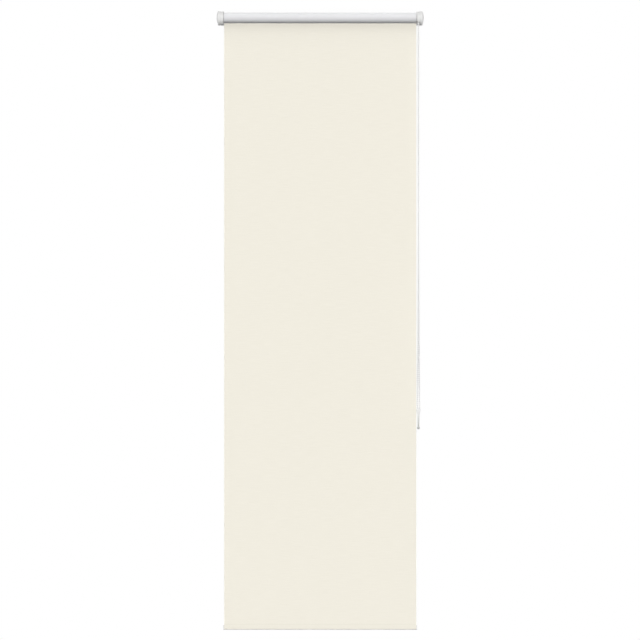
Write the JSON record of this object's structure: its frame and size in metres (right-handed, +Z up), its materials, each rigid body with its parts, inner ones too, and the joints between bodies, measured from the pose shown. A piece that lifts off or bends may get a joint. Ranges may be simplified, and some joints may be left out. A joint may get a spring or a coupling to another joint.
{
  "type": "roller blind",
  "caption": "Blackout roller blind: a coated sheet on a tube between two covered wall brackets, wound by a bead chain loop with a joiner and pull weight.",
  "frame": {"origin": "on the wall plane, midway between the brackets, level with the roller's axis, which is the centre of the four wall screws", "axes": "+X along the roller to the chain side, +Y into the wall, +Z up; the room is at -Y and the blind is fully lowered"},
  "size_m": [0.6, 0.046, 1.7923],
  "materials": {
    "fabric": "matt cream polyester weave, the side to the room",
    "fabric_back": "smooth pale grey blackout coating, the side to the window",
    "tube": "mill finish extrusion",
    "hem_steel": "white painted steel",
    "white_plastic": "fine satin moulding",
    "grey_plastic": "plain moulding",
    "chain_plastic": "glossy white beads on polyester cord",
    "clear_plastic": "milky translucent moulding",
    "pin_steel": "bright zinc plated",
    "spring_steel": "oiled spring steel"
  },
  "bodies": {
    "mount": {"control_bracket": "white_plastic", "control_cover": "white_plastic", "clutch_housing": "white_plastic", "clutch_spindle": "grey_plastic", "brake_spring_outer": "spring_steel", "brake_spring_inner": "spring_steel", "retaining_washer": "spring_steel", "retaining_screw": "spring_steel", "bead_chain": "chain_plastic", "chain_joiner": "clear_plastic", "pull_weight": "clear_plastic", "idle_bracket": "white_plastic", "idle_cover": "white_plastic", "idle_collar": "white_plastic", "fabric_sheet": "fabric"},
    "roller": {"roller_tube": "tube", "fabric_roll": "fabric_back", "chain_wheel": "grey_plastic", "drive_hub": "grey_plastic", "idle_plug": "grey_plastic", "idle_plug_cap": "grey_plastic", "idle_pin_spring": "spring_steel"},
    "pin": {"idle_pin": "pin_steel"},
    "hem": {"fabric_hem": "fabric", "hem_bar": "hem_steel", "hem_cap_left": "white_plastic", "hem_cap_right": "white_plastic"}
  },
  "joints": [
    {"name": "roller_turn", "type": "hinge", "parent": "mount", "child": "roller", "pos_m": [0, -0.026, 0], "axis": [1, 0, 0], "range_deg": [0, 5340], "deforming": ["bead_chain", "fabric_sheet"]},
    {"name": "hem_lift", "type": "slide", "parent": "mount", "child": "hem", "axis": [0, 0, 1], "range_m": [0, 1.731], "deforming": ["fabric_sheet"]},
    {"name": "pin_press", "type": "slide", "parent": "roller", "child": "pin", "axis": [1, 0, 0], "range_m": [0, 0.0095], "stiffness_N_per_m": 250, "springref_m": -0.006, "deforming": ["idle_pin_spring"]}
  ],
  "couplings": [
    {"joint": "hem_lift", "follows": "roller_turn", "m_per_rad": 0.018562}
  ]
}
